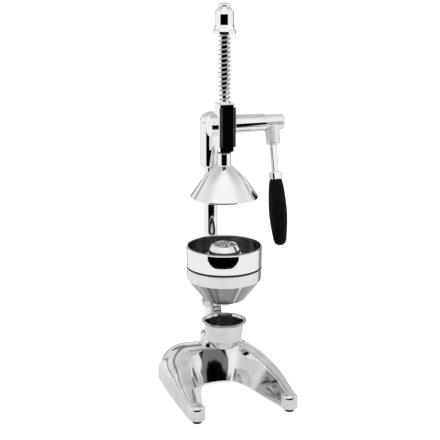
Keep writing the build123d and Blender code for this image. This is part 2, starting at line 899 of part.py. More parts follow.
def make_cup_arm():
    ring = column_axis * tube(
        arm_ring_radius, column_radius + running_gap, arm_ring_bottom, arm_ring_top
    )
    middle_z = (arm_ring_bottom + arm_ring_top) / 2
    ring_front = column_y - (arm_ring_radius + column_radius) / 2
    lip_line = cup_lip_radius + rest_gap + arm_thickness / 2
    wall_line = strap_back - arm_thickness / 2
    route = FilletPolyline(
        (ring_front, middle_z),
        (lip_line + strap_bend, middle_z),
        (lip_line, middle_z - 2 * strap_bend),
        (lip_line, cup_throat_z + strap_bend / 4),
        (wall_line, cup_throat_z - 2 * strap_bend),
        (wall_line, strap_end),
        radius=strap_bend,
    )
    strap = extrude(Plane.YZ * trace(route, arm_thickness), arm_width / 2, both=True)
    return ring + strap - rivet_bores()


def make_cup_rivets():
    rivets = []
    for z, place in rivet_places():
        inside = cup_radius(z, cup_wall) - rest_gap
        rivet = rod(rivet_radius, inside - rivet_head_height, strap_back + rivet_head_height)
        rivet += rod(rivet_head_radius, inside - rivet_head_height, inside)
        rivet += rod(rivet_head_radius, strap_back, strap_back + rivet_head_height)
        rivets.append(place * rivet)
    return rivets


def make_arm_stop_ring():
    top = arm_ring_bottom - rest_gap
    return column_axis * tube(stop_ring_radius, column_radius, top - stop_ring_height, top)


# Lever ------------------------------------------------------------------------------


def make_lever_hub():
    hub = turned(
        (0, hub_left),
        (hub_radius, hub_left, hub_edge),
        (hub_radius, hub_right, hub_rounding),
        (0, hub_right),
    )
    elbow = turned(
        (0, 0),
        (elbow_radius, 0),
        (elbow_end_radius, -elbow_length, elbow_rounding),
        (0, -elbow_length),
    )
    body = shaft_axis * hub + lever_place * elbow
    body -= shaft_axis * rod(shaft_radius, hub_left, shaft_right)
    body -= lever_place * rod(rod_radius, -elbow_length, -rod_root)
    return body - lever_place * rod(grub_screw_radius, shaft_radius, hub_radius)


def make_hub_set_screw():
    screw = grub_screw(hub_radius - shaft_radius - rest_gap)
    return lever_place * Pos(0, 0, shaft_radius) * screw


def make_lever_rod():
    return lever_place * rod(rod_radius, -grip_start - rod_in_grip, -rod_root)


def make_ferrule():
    recess_radius = rod_radius + ferrule_recess
    ferrule = turned(
        (rod_radius, -grip_start),
        (ferrule_radius, -grip_start, hub_edge),
        (ferrule_radius, -ferrule_start, ferrule_rounding),
        (recess_radius, -ferrule_start),
        (recess_radius, -ferrule_start - ferrule_recess),
        (rod_radius, -ferrule_start - ferrule_recess),
    )
    return lever_place * ferrule


def make_grip():
    points = [(radius, -grip_start - share * grip_length) for share, radius in grip_stations]
    tip = (0, -grip_start - grip_length)
    edges = [
        Line((0, -grip_start), points[0]),
        Spline(*points, tip, tangents=((0, -1), (-1, 0))),
        Line(tip, (0, -grip_start)),
    ]
    grip = revolve(Plane.XZ * make_face(edges), Axis.Z)
    return lever_place * (grip - rod(rod_radius, -grip_start - rod_in_grip, -grip_start))


makers = [
    make_base_casting,
    make_rubber_feet,
    make_foot_screws,
    make_column,
    make_column_bolt,
    make_column_washer,
    make_boss_set_screw,
    make_head_casting,
    make_head_set_screw,
    make_barrel_cap,
    make_shaft_bushes,
    make_pinion_shaft,
    make_pinion_gear,
    make_pinion_pin,
    make_rack_rod,
    make_knob,
    make_return_spring,
    make_stop_washer,
    make_press_cone,
    make_cone_nut,
    make_funnel_holder,
    make_holder_clamp_screw,
    make_bowl_seal,
    make_strainer_bowl,
    make_reamer_dome,
    make_drip_cup,
    make_cup_arm,
    make_cup_rivets,
    make_arm_stop_ring,
    make_lever_hub,
    make_hub_set_screw,
    make_lever_rod,
    make_ferrule,
    make_grip,
]

os.makedirs("parts", exist_ok=True)
for maker in makers:
    shape = maker()
    solids = shape if isinstance(shape, list) else [shape]
    placed = [Pos(origin_x, origin_y, 0) * solid for solid in solids]
    node = maker.__name__.removeprefix("make_")
    export_step(Compound(children=placed), f"parts/{node}.step")
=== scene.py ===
import math

import bmesh
import bpy
from mathutils import Matrix, Vector


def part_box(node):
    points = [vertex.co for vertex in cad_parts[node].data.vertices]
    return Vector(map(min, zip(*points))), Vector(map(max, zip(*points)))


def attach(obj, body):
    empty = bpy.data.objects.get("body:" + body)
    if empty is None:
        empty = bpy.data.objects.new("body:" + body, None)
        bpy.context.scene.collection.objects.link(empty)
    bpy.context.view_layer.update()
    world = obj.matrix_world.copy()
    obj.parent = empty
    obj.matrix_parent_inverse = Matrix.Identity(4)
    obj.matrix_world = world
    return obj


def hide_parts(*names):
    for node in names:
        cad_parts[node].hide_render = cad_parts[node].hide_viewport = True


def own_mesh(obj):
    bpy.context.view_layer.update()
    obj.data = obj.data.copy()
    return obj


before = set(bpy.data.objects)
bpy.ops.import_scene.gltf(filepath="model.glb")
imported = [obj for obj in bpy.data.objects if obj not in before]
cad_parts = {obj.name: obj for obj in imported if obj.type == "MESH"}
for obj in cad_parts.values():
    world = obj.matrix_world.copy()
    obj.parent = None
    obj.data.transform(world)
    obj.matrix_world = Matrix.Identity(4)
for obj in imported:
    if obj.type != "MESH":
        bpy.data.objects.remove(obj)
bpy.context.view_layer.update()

# A lever citrus press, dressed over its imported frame. Sizes in the tables below are
# in millimetres; everything in the scene itself is in metres.
MM = 0.001

scene = bpy.context.scene
scene.view_settings.view_transform = "Standard"


# Places ---------------------------------------------------------------------------


def middle(node):
    """The middle of a CAD node's box."""
    low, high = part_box(node)
    return (low + high) / 2


def upright(node):
    """The place of a vertical axis through the middle of a node, at table height."""
    spot = middle(node)
    return Matrix.Translation((spot.x, spot.y, 0))


press = upright("rack_rod")
post = upright("column")
shaft = Matrix.Translation((press.translation.x, *middle("pinion_shaft").yz))
shaft @= Matrix.Rotation(math.radians(90), 4, "Y")
LEVER_X = 64.4
LEVER_LEAN = 14
lever = Matrix.Translation(shaft.translation + Vector((LEVER_X * MM, 0, 0)))
lever @= Matrix.Rotation(math.radians(-LEVER_LEAN), 4, "X")


# Camera ---------------------------------------------------------------------------

CAMERA_PLACE = Vector((-463.5, -1433.2, 626.0)) * MM
CAMERA_HEADING = math.radians(17.6)
CAMERA_DIP = math.radians(15)
SENSOR_WIDTH = 36
FRAME_PIXELS = 440
FOCAL_PIXELS = 1285
camera = bpy.data.objects.new("camera", bpy.data.cameras.new("camera"))
scene.collection.objects.link(camera)
camera.location = CAMERA_PLACE
camera.rotation_euler = (math.pi / 2 - CAMERA_DIP, 0, -CAMERA_HEADING)
camera.data.lens = SENSOR_WIDTH * FOCAL_PIXELS / FRAME_PIXELS
camera.data.sensor_width = SENSOR_WIDTH
scene.camera = camera


# Shader maths ---------------------------------------------------------------------


class Wire:
    """A value or colour that varies over a surface. Operators on it add nodes."""

    def __init__(self, tree, socket):
        self.tree = tree
        self.socket = socket

    def math(self, operation, *others):
        values = {0: self, **{i + 1: other for i, other in enumerate(others)}}
        return self.tree.node("ShaderNodeMath", {"operation": operation}, values)

    def __add__(self, other):
        return self.math("ADD", other)

    def __sub__(self, other):
        return self.math("SUBTRACT", other)

    def __mul__(self, other):
        return self.math("MULTIPLY", other)

    def __rsub__(self, other):
        return self.math("MULTIPLY", -1) + other

    __radd__ = __add__
    __rmul__ = __mul__

    def step(self, start, end):
        """0 before start, 1 after end, and a smooth rise between them."""
        settings = {"interpolation_type": "SMOOTHSTEP"}
        values = {"Value": self, "From Min": start, "From Max": end}
        return self.tree.node("ShaderNodeMapRange", settings, values)


class Finish:
    """The node tree of a material or of the world, and the way to add nodes to it."""

    def __init__(self, tree):
        self.tree = tree
        tree.nodes.clear()

    def node(self, kind, settings=None, values=None, output=0):
        node = self.tree.nodes.new(kind)
        for name, setting in (settings or {}).items():
            setattr(node, name, setting)
        for name, value in (values or {}).items():
            if isinstance(value, Wire):
                self.tree.links.new(value.socket, node.inputs[name])
            else:
                node.inputs[name].default_value = value
        return Wire(self, node.outputs[output] if node.outputs else None)

    def place(self, centre=(0, 0, 0), scale=(1, 1, 1), turn=(0, 0, 0)):
        """Object coordinates in millimetres, measured from a centre in metres."""
        coordinates = self.node("ShaderNodeTexCoord", output="Object")
        shift = self.node(
            "ShaderNodeMapping", {"vector_type": "TEXTURE"},
            {"Vector": coordinates, "Location": centre, "Rotation": turn},
        )
        size = tuple(s / MM for s in scale)
        return self.node("ShaderNodeMapping", None, {"Vector": shift, "Scale": size})

    def axes(self, vector):
        """The three parts of a vector."""
        values = {"Vector": vector}
        node = self.node("ShaderNodeSeparateXYZ", None, values).socket.node
        return [Wire(self, output) for output in node.outputs]

    def join(self, x, y, z):
        return self.node("ShaderNodeCombineXYZ", None, {"X": x, "Y": y, "Z": z})

    def noise(self, vector, size, detail=3.0, roughness=0.5):
        """Smooth noise from 0 to 1 with lumps of about that many millimetres."""
        values = {"Vector": vector, "Scale": 1 / size, "Detail": detail, "Roughness": roughness}
        return self.node("ShaderNodeTexNoise", {"noise_dimensions": "3D"}, values)

    def mix(self, share, first, second):
        """A colour between two others."""
        node = self.tree.nodes.new("ShaderNodeMix")
        node.data_type = "RGBA"
        share_in, first_in, second_in = node.inputs[0], node.inputs[6], node.inputs[7]
        for socket, value in ((share_in, share), (first_in, first), (second_in, second)):
            if isinstance(value, Wire):
                self.tree.links.new(value.socket, socket)
            else:
                socket.default_value = value
        return Wire(self, node.outputs[2])

    def bump(self, height, strength, depth):
        """A normal from a height, with the depth of its relief in millimetres."""
        values = {"Height": height, "Strength": strength, "Distance": depth * MM}
        return self.node("ShaderNodeBump", None, values)

    def surface(self, **values):
        named = {name.replace("_", " "): value for name, value in values.items()}
        shader = self.node("ShaderNodeBsdfPrincipled", None, named)
        self.node("ShaderNodeOutputMaterial", None, {"Surface": shader})


def grey(level, warmth=0.0):
    """A neutral colour, a little warmer above 0 and cooler below."""
    return (level * (1 + warmth), level, level * (1 - warmth), 1)


def new_finish(name):
    material = bpy.data.materials.new(name)
    material.use_nodes = True
    return material, Finish(material.node_tree)


# Finishes -------------------------------------------------------------------------


GRIT_SIZE = 0.35
WAVE_LENGTH = 14


def metal(name, dark, light, rough, spread, waves=0.0, grain=0.0, smudge=22.0, warmth=0.0):
    """Plated or polished metal: faint smudges, slow waves and a fine polishing grain."""
    material, finish = new_finish(name)
    place = finish.place()
    cloud = finish.noise(place, smudge, 4)
    haze = finish.noise(place, smudge / 6, 3)
    grit = finish.noise(place, GRIT_SIZE, 2)
    slow = finish.noise(place, WAVE_LENGTH, 1)
    colour = finish.mix(cloud.step(0.3, 0.7), grey(dark, warmth), grey(light, warmth))
    roughness = rough + spread * cloud.step(0.45, 0.75) + spread * 0.5 * haze.step(0.5, 0.8)
    relief = finish.bump(slow * waves + grit * grain, 1.0, 1.0)
    finish.surface(Base_Color=colour, Metallic=1.0, Roughness=roughness, Normal=relief)
    return material


def turned_metal(name, axis, dark, light, rough, pitch, depth, warmth=0.0, streak=0.0, painted_reflections=()):
    """Metal turned on a lathe about a vertical axis: fine rings, and streaks down it.
    Painted reflections are wider streaks, light ones as painted highlights and dark ones as painted
    dark reflections, each a bearing about the axis and a half width in degrees, a strength and a
    shade."""
    material, finish = new_finish(name)
    place = finish.place(centre=axis.translation)
    x, y, z = finish.axes(place)
    radius = (x * x + y * y).math("SQRT")
    angle = y.math("ARCTAN2", x)
    rings = finish.noise(finish.join(radius, 0.0, z), pitch, 2)
    around = finish.noise(finish.join(angle * 20.0, 0.0, z * 0.02), 3.0, 3)
    cloud = finish.noise(place, 18, 4)
    shade = (rings * 0.35 + around * streak + cloud * 0.4).step(0.2, 0.75)
    colour = finish.mix(shade, grey(dark, warmth), grey(light, warmth))
    # Painted highlights and painted dark reflections: streaks at fixed bearings mixed into the
    # colour
    for bearing, half_width, strength, tone in painted_reflections:
        off = (angle - math.radians(bearing)).math("ABSOLUTE")
        share = (1 - off.step(math.radians(half_width * 0.6), math.radians(half_width))) * strength
        colour = finish.mix(share, colour, grey(tone, warmth / 2))
    roughness = rough + rings * (rough * 0.5) + cloud.step(0.5, 0.8) * (rough * 0.4)
    relief = finish.bump(rings, 1.0, depth)
    finish.surface(Base_Color=colour, Metallic=1.0, Roughness=roughness, Normal=relief)
    return material


def moulded(name, dark, light, rough, grain, depth, sheen=0.3, ior=1.45):
    """Rubber, plastic or enamel: cloudy sheen and a fine moulded grain."""
    material, finish = new_finish(name)
    place = finish.place()
    cloud = finish.noise(place, 11, 4)
    skin = finish.noise(place, grain, 3, 0.6)
    scuffs = finish.noise(finish.place(scale=(1, 1, 0.15)), 0.8, 3)
    colour = finish.mix(cloud.step(0.35, 0.7), grey(dark), grey(light))
    roughness = rough + cloud.step(0.4, 0.8) * 0.08 - scuffs.step(0.6, 0.8) * 0.06
    relief = finish.bump(skin, 1.0, depth)
    finish.surface(
        Base_Color=colour, Roughness=roughness, Normal=relief, Specular_IOR_Level=sheen, IOR=ior
    )
    return material


cast_chrome = metal("cast_chrome", 0.84, 0.9, 0.045, 0.03, waves=0.012, grain=0.0004)
bright_chrome = metal("bright_chrome", 0.87, 0.92, 0.035, 0.02, grain=0.0003)
rod_chrome = metal("rod_chrome", 0.85, 0.9, 0.05, 0.03, grain=0.0004)
clamp_chrome = metal("clamp_chrome", 0.5, 0.8, 0.05, 0.03, waves=0.03, grain=0.0004, smudge=9)
cone_steel = turned_metal("cone_steel", press, 0.9, 0.95, 0.09, 0.5, 0.0012, warmth=0.006)
bowl_steel = turned_metal("bowl_steel", press, 0.86, 0.91, 0.012, 0.5, 0.0002, warmth=0.008)
# Painted highlights inside the bowl and cup: light streaks at fixed bearings
inner_painted_reflections = (
    (54.6, 8, 0.4, 0.6), (23, 6, 0.5, 0.9), (8, 4, 0.25, 0.9), (118, 10, 0.2, 0.7),
    (-95, 10, 0.25, 0.8), (170, 8, 0.3, 0.8),
)
# Steel inside the bowl, the cup and the reamer's holes and underside, painted dark as shade, with
# the painted highlights above
inner_steel_painted_shade = turned_metal(
    "inner_steel_painted_shade", press, 0.12, 0.23, 0.22, 0.6, 0.003, warmth=0.06, streak=0.5, painted_reflections=inner_painted_reflections
)
reamer_steel = turned_metal("reamer_steel", press, 0.82, 0.88, 0.08, 0.4, 0.001, warmth=0.005)
# Painted highlights and painted dark reflections on the funnel's cone: light and dark streaks at
# fixed bearings
funnel_painted_reflections = (
    (-82, 3, 0.9, 0.95), (-150, 4, 0.3, 0.9), (-20, 5, 0.4, 0.9), (38, 4, 0.7, 0.95),
    (104, 6, 0.4, 0.9), (166, 4, 0.6, 0.95), (-133, 4, 0.6, 0.1), (-121, 3, 0.5, 0.12),
    (70, 6, 0.5, 0.1), (135, 4, 0.5, 0.12),
)
# The funnel's cone, painted far darker than its band and spout as shade on its downward face, with
# the streaks above
satin_aluminium_painted_shade = turned_metal(
    "satin_aluminium_painted_shade", press, 0.12, 0.36, 0.16, 0.4, 0.003, warmth=-0.008, streak=0.8,
    painted_reflections=funnel_painted_reflections,
)
band_aluminium = turned_metal("band_aluminium", press, 0.66, 0.82, 0.12, 0.4, 0.003, streak=0.4)
cup_steel = turned_metal("cup_steel", press, 0.5, 0.78, 0.08, 0.5, 0.001, warmth=0.004, streak=0.5)
spring_wire = metal("spring_wire", 0.46, 0.64, 0.12, 0.06, grain=0.001, smudge=6)
satin_cast = metal("satin_cast", 0.92, 0.96, 0.38, 0.05, waves=0.01, grain=0.0008)
# Polished steel painted dark for the outer edges of rims: a painted dark reflection line
edge_steel_painted_reflection = metal("edge_steel_painted_reflection", 0.16, 0.26, 0.12, 0.05, grain=0.0008, smudge=8)
base_chrome = metal("base_chrome", 0.72, 0.84, 0.04, 0.03, waves=0.016, grain=0.0004)
# Strong dark and light mottling on the reamer's perforated top: painted reflections
sieve_steel_painted_reflections = metal("sieve_steel_painted_reflections", 0.12, 0.8, 0.1, 0.08, waves=0.05, grain=0.001, smudge=4)
screw_steel = metal("screw_steel", 0.42, 0.55, 0.28, 0.1, grain=0.002, smudge=4)
gear_steel = metal("gear_steel", 0.36, 0.48, 0.32, 0.1, grain=0.003, smudge=5, warmth=0.03)
bush_bronze = metal("bush_bronze", 0.45, 0.55, 0.3, 0.1, grain=0.003, smudge=5, warmth=0.3)
foot_rubber = moulded("foot_rubber", 0.012, 0.022, 0.6, 0.5, 0.03)
seal_rubber = moulded("seal_rubber", 0.008, 0.014, 0.5, 0.5, 0.02)
grip_plastic = moulded("grip_plastic", 0.002, 0.004, 0.36, 0.45, 0.012, sheen=0.3, ior=1.2)
label_enamel = moulded("label_enamel", 0.001, 0.0015, 0.2, 0.6, 0.003, sheen=0.1, ior=1.15)
band_enamel = moulded("band_enamel", 0.03, 0.045, 0.3, 0.6, 0.006, sheen=0.12)


# Shapes ---------------------------------------------------------------------------


def line(bm, corners):
    """An open line in the XZ plane from (radius, height) or (radius, height, rounding)."""
    points = [Vector((corner[0] * MM, 0, corner[1] * MM)) for corner in corners]
    verts = [bm.verts.new(point) for point in points]
    for first, second in zip(verts, verts[1:]):
        bm.edges.new((first, second))
    for i, corner in enumerate(corners):
        if len(corner) == 3 and 0 < i < len(corners) - 1:
            turn = (points[i] - points[i - 1]).angle(points[i + 1] - points[i])
            bmesh.ops.bevel(
                bm, geom=[verts[i]], offset=corner[2] * MM * math.tan(turn / 2),
                offset_type="OFFSET", segments=max(4, round(turn / math.radians(6))),
                profile=0.5, affect="VERTICES", material=-1,
            )


def turned(corners, place, steps=128):
    """A mesh turned about the local Z axis of a place from the corners of its outline."""
    bm = bmesh.new()
    line(bm, corners + corners[:1])
    bmesh.ops.remove_doubles(bm, verts=bm.verts, dist=1e-7)
    bmesh.ops.spin(
        bm, geom=bm.verts[:] + bm.edges[:], cent=(0, 0, 0), axis=(0, 0, 1), dvec=(0, 0, 0),
        angle=math.tau, steps=steps, use_merge=True, use_normal_flip=False, use_duplicate=False,
    )
    bmesh.ops.remove_doubles(bm, verts=bm.verts, dist=1e-6)
    bmesh.ops.recalc_face_normals(bm, faces=bm.faces)
    bmesh.ops.transform(bm, matrix=place, verts=bm.verts)
    return bm


def block(width, depth, height, middle_point, rounding, edges="ALL", segments=5):
    """A box with rounded edges; edges picks all of them or only those along Z."""
    bm = bmesh.new()
    bmesh.ops.create_cube(bm, size=1.0)
    bmesh.ops.scale(bm, vec=(width * MM, depth * MM, height * MM), verts=bm.verts)
    chosen = [
        edge for edge in bm.edges
        if edges == "ALL" or abs((edge.verts[0].co - edge.verts[1].co).z) > 1e-6
    ]
    bmesh.ops.bevel(
        bm, geom=chosen, offset=rounding * MM, offset_type="OFFSET", segments=segments,
        profile=0.5, affect="EDGES", material=-1,
    )
    bmesh.ops.translate(bm, vec=middle_point, verts=bm.verts)
    return bm


def slab(outline, width, rounding=0.0, segments=4, rise=0.0):
    """A plate across the middle of the press, from the (depth, height) corners of its
    outline, with all edges rounded."""
    bm = bmesh.new()
    face = bm.faces.new([
        bm.verts.new(press.translation + Vector((-width / 2, y, rise + z)) * MM)
        for y, z in outline
    ])
    far_side = bmesh.ops.extrude_face_region(bm, geom=[face])["geom"]
    moved = [item for item in far_side if isinstance(item, bmesh.types.BMVert)]
    bmesh.ops.translate(bm, vec=(width * MM, 0, 0), verts=moved)
    bmesh.ops.recalc_face_normals(bm, faces=bm.faces)
    if rounding:
        bmesh.ops.bevel(
            bm, geom=bm.edges[:], offset=rounding * MM, offset_type="OFFSET",
            segments=segments, profile=0.5, affect="EDGES", material=-1,
        )
    return bm


def merged(*meshes):
    """Several meshes as one."""
    whole = bmesh.new()
    for bm in meshes:
        part = bpy.data.meshes.new("part")
        bm.to_mesh(part)
        bm.free()
        whole.from_mesh(part)
        bpy.data.meshes.remove(part)
    return whole


def make(name, bm, material, sharp=32):
    """An object from a mesh, shaded smooth up to its sharp edges."""
    mesh = bpy.data.meshes.new(name)
    bm.to_mesh(mesh)
    bm.free()
    mesh.shade_smooth()
    mesh.set_sharp_from_angle(angle=math.radians(sharp))
    mesh.materials.append(material)
    piece = bpy.data.objects.new(name, mesh)
    scene.collection.objects.link(piece)
    return piece


def carve(piece, cutters, sharp=32):
    """Cuts a mesh away from a piece for good."""
    tool = make(piece.name + "_tool", cutters, piece.data.materials[0])
    modifier = piece.modifiers.new("cut", "BOOLEAN")
    modifier.operation, modifier.solver, modifier.object = "DIFFERENCE", "EXACT", tool
    bpy.context.view_layer.update()
    solid = piece.evaluated_get(bpy.context.evaluated_depsgraph_get())
    mesh = bpy.data.meshes.new_from_object(solid)
    piece.modifiers.clear()
    piece.data = mesh
    mesh.shade_smooth()
    mesh.set_sharp_from_angle(angle=math.radians(sharp))
    bpy.data.objects.remove(tool)


def dress(piece, body, slot, *nodes):
    """Rides a piece on its body and hides the nodes it stands for; its slot is not used."""
    normals = piece.modifiers.new("normals", "WEIGHTED_NORMAL")
    normals.keep_sharp = True
    normals.weight = 70
    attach(piece, body)
    if nodes:
        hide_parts(*nodes)
    return piece


def paint(node, material):
    """A better material on a CAD node whose shape stays."""
    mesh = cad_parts[node].data
    mesh.materials.clear()
    mesh.materials.append(material)


def paint_faces(piece, material, chosen):
    """A second material on the faces that a test of centre and normal picks."""
    piece.data.materials.append(material)
    last = len(piece.data.materials) - 1
    for face in piece.data.polygons:
        if chosen(face.center, face.normal):
            face.material_index = last


def from_axis(point, place):
    """How far a point is from a place's vertical axis, in millimetres."""
    return (point - place.translation).xy.length / MM


# Base -----------------------------------------------------------------------------

base = bmesh.new()
base.from_mesh(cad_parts["base_casting"].data)
bmesh.ops.remove_doubles(base, verts=base.verts, dist=1e-6)
base_shell = make("base_shell", base, base_chrome, sharp=28)
dress(base_shell, "frame", "polished_chrome", "base_casting")

FOOT_RADIUS, FOOT_HEIGHT = 5.85, 5.0
feet_low, feet_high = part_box("rubber_feet")
front_y = feet_low.y + FOOT_RADIUS * MM
rear_y = feet_high.y - FOOT_RADIUS * MM
toe_x = (feet_high.x - feet_low.x) / 2 - FOOT_RADIUS * MM
REAR_FOOT_X = 46.0
foot_spots = [
    (press.translation.x + side * x, y)
    for x, y in ((toe_x, front_y), (REAR_FOOT_X * MM, rear_y))
    for side in (-1, 1)
]
foot_outline = [
    (2.0, 3.0), (3.6, 3.0), (3.6, 0.0, 0.3), (FOOT_RADIUS - 0.5, 0.0, 0.9),
    (FOOT_RADIUS, 2.2, 0.8), (FOOT_RADIUS, FOOT_HEIGHT, 0.4), (2.0, FOOT_HEIGHT),
]
feet = merged(*(turned(foot_outline, Matrix.Translation((x, y, 0)), 64) for x, y in foot_spots))
dress(make("feet", feet, foot_rubber), "frame", "black_rubber", "rubber_feet")


# Column ---------------------------------------------------------------------------

COLUMN_RADIUS, COLUMN_FOOT, COLUMN_TOP = 8.4, 22.0, 335.0
column = turned(
    [
        (4.0, COLUMN_FOOT), (COLUMN_RADIUS, COLUMN_FOOT), (COLUMN_RADIUS, COLUMN_TOP, 0.9),
        (4.0, COLUMN_TOP),
    ],
    post,
)
dress(make("post", column, rod_chrome), "frame", "polished_chrome", "column")

stop_ring_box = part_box("arm_stop_ring")
ring_low, ring_high = stop_ring_box[0].z / MM, stop_ring_box[1].z / MM
STOP_RING_RADIUS = 11.0
stop_ring = turned(
    [
        (COLUMN_RADIUS, ring_low), (STOP_RING_RADIUS, ring_low, 0.5),
        (STOP_RING_RADIUS, ring_high, 0.5), (COLUMN_RADIUS, ring_high),
    ],
    post,
)
dress(make("stop_ring", stop_ring, clamp_chrome), "frame", "polished_steel", "arm_stop_ring")


# Head casting ---------------------------------------------------------------------

SOCKET_RADIUS, SOCKET_BOTTOM, SOCKET_TOP, SOCKET_CROWN_ROUNDING = 13.5, 279.0, 348.0, 13.3
socket = turned(
    [
        (COLUMN_RADIUS, SOCKET_BOTTOM), (SOCKET_RADIUS, SOCKET_BOTTOM, 3.0),
        (SOCKET_RADIUS, SOCKET_TOP, SOCKET_CROWN_ROUNDING), (0.0, SOCKET_TOP),
        (0.0, COLUMN_TOP), (COLUMN_RADIUS, COLUMN_TOP),
    ],
    post,
)
BARREL_RADIUS, BARREL_BORE, BARREL_START, BARREL_END = 13.6, 8.5, -12.6, 54.8
barrel = turned(
    [
        (BARREL_BORE, BARREL_START), (BARREL_RADIUS, BARREL_START), (BARREL_RADIUS, 6.4, 7.0),
        (11.7, 15.0, 9.0), (10.85, BARREL_END, 0.4), (BARREL_BORE, BARREL_END),
    ],
    shaft,
)
GUIDE_BOTTOM, GUIDE_TOP, GUIDE_FRONT, GUIDE_BACK = 310.5, 367.8, -13.7, 10.4
guide_middle = press.translation + Vector(
    (0, (GUIDE_FRONT + GUIDE_BACK) / 2 * MM, (GUIDE_BOTTOM + GUIDE_TOP) / 2 * MM)
)
guide = block(
    20.3, GUIDE_BACK - GUIDE_FRONT, GUIDE_TOP - GUIDE_BOTTOM, guide_middle, 3.35, "UPRIGHT", 8
)
top_edges = [
    edge for edge in guide.edges
    if all(abs(vert.co.z / MM - GUIDE_TOP) < 1e-3 for vert in edge.verts)
]
bmesh.ops.bevel(
    guide, geom=top_edges, offset=0.9 * MM, offset_type="OFFSET", segments=4,
    profile=0.5, affect="EDGES", material=-1,
)
web_outline = [
    (55.1, 290.0), (55.1, 340.9), (14.075, 347.9), (6.4, 314.5), (20.0, 313.0), (34.0, 307.5),
    (46.0, 299.0),
]
web = slab(web_outline, width=11.0, rounding=1.6)


def bore(radius, start, end, place):
    """A round cutter along the axis of a place."""
    return turned([(0.0, start), (radius, start), (radius, end), (0.0, end)], place, 96)


def rack_bore():
    return bore(5.26, 300.0, 380.0, press)


def shaft_bore():
    return bore(8.45, -12.0, 12.0, shaft)


head = make("head", merged(socket, barrel), cast_chrome)
carve(head, rack_bore())
guide_piece = make("guide", guide, cast_chrome)
carve(guide_piece, rack_bore())
carve(guide_piece, shaft_bore())
web_piece = make("head_web", web, cast_chrome)
carve(web_piece, shaft_bore())
for piece in (head, guide_piece, web_piece):
    dress(piece, "frame", "polished_chrome", "head_casting")

plate_middle = press.translation + Vector((0, (GUIDE_FRONT + 0.55) * MM, 339.8 * MM))
side_plate = block(20.0, 1.4, 47.4, plate_middle, 0.35)
dress(make("guide_plate", side_plate, band_enamel), "frame", "black_plastic", "head_casting")
label_middle = press.translation + Vector((0, (GUIDE_FRONT + 0.1) * MM, 339.15 * MM))
label = block(13.2, 0.9, 55.4, label_middle, 0.3)
dress(make("guide_label", label, label_enamel), "frame", "black_plastic", "head_casting")

CAP_END = -15.6
barrel_cap = turned(
    [
        (0.0, CAP_END), (BARREL_RADIUS, CAP_END, 2.4), (BARREL_RADIUS, BARREL_START),
        (10.0, BARREL_START), (10.0, -6.5), (6.1, -6.5), (6.1, -13.4), (0.0, -13.4),
    ],
    shaft,
)
dress(make("end_cap", barrel_cap, bright_chrome), "frame", "polished_chrome", "barrel_cap")


# Funnel holder, seal, bowl and reamer ------------------------------------------------

SPOUT_TOP, BAND_BOTTOM = 124.0, 151.0
funnel = turned(
    [
        (5.5, 117.3, 0.5), (8.0, 117.3, 1.5), (8.0, SPOUT_TOP, 1.0), (24.3, SPOUT_TOP, 6.0),
        (45.0, BAND_BOTTOM, 1.2), (45.7, 165.5, 0.8), (43.2, 165.5), (43.2, 153.5, 1.2),
        (21.8, 126.5, 6.0), (5.5, 126.5),
    ],
    press, 192,
)
sleeve = turned(
    [
        (COLUMN_RADIUS, 114.0), (12.5, 114.0, 1.5), (12.5, 150.0, 1.5), (COLUMN_RADIUS, 150.0),
    ],
    post,
)
rib_outline = [(7.0, 126.0), (46.0, 117.5), (46.0, 147.0), (38.0, 147.0), (20.0, 128.0)]
rib = slab(rib_outline, width=8.0, rounding=1.2, segments=3)
# The funnel keeps the dark aluminium on its cone, painted shade with painted streaks; the band and
# spout get the lighter one
funnel_piece = make("funnel", funnel, satin_aluminium_painted_shade)


def on_band_or_spout(centre, normal):
    """Whether a face of the funnel is above or below its cone."""
    height = centre.z / MM
    return height > BAND_BOTTOM + 0.2 or height < SPOUT_TOP - 0.2


paint_faces(funnel_piece, band_aluminium, on_band_or_spout)
dress(funnel_piece, "frame", "cast_aluminium", "funnel_holder")
clamp = make("holder_sleeve", merged(sleeve, rib), clamp_chrome)
dress(clamp, "frame", "polished_chrome", "funnel_holder")

seal = turned(
    [(43.2, 165.5), (45.75, 165.5, 0.5), (45.75, 167.5, 0.5), (43.2, 167.5)], press, 192
)
dress(make("seal", seal, seal_rubber), "frame", "black_rubber", "bowl_seal")

bowl = turned(
    [
        (0.0, 168.8), (41.7, 168.8), (41.7, 161.5, 0.4), (42.9, 161.5, 0.4), (42.9, 167.5),
        (45.7, 167.5, 0.8), (46.1, 190.6, 0.8), (46.2, 193.0, 1.0), (44.3, 193.0, 0.8),
        (44.2, 191.0, 0.6), (45.0, 189.0, 0.5), (44.5, 170.0, 1.6), (0.0, 170.0),
    ],
    press, 192,
)
bowl_piece = make("bowl", bowl, bowl_steel)


def ring_of_holes(radius, count, hole, low, high):
    """Round cutters on a ring about the press axis."""
    outline = [(0.0, low), (hole, low), (hole, high), (0.0, high)]
    turns = [Matrix.Rotation(math.tau * i / count, 4, "Z") for i in range(count)]
    outwards = Matrix.Translation((radius * MM, 0, 0))
    return [turned(outline, press @ turn @ outwards, 24) for turn in turns]


drains = [
    hole for radius, count in ((31.0, 10), (37.5, 14))
    for hole in ring_of_holes(radius, count, 2.0, 166.0, 172.0)
]
carve(bowl_piece, merged(*drains))


def inside_bowl(centre, normal):
    """Whether a face of the bowl looks into it below the rim."""
    return from_axis(centre, press) < 45.2 and 169.5 * MM < centre.z < 190.6 * MM


def bowl_lip(centre, normal):
    """Whether a face of the bowl is on the outer edge of its rim."""
    return from_axis(centre, press) > 45.3 and centre.z > 192.3 * MM


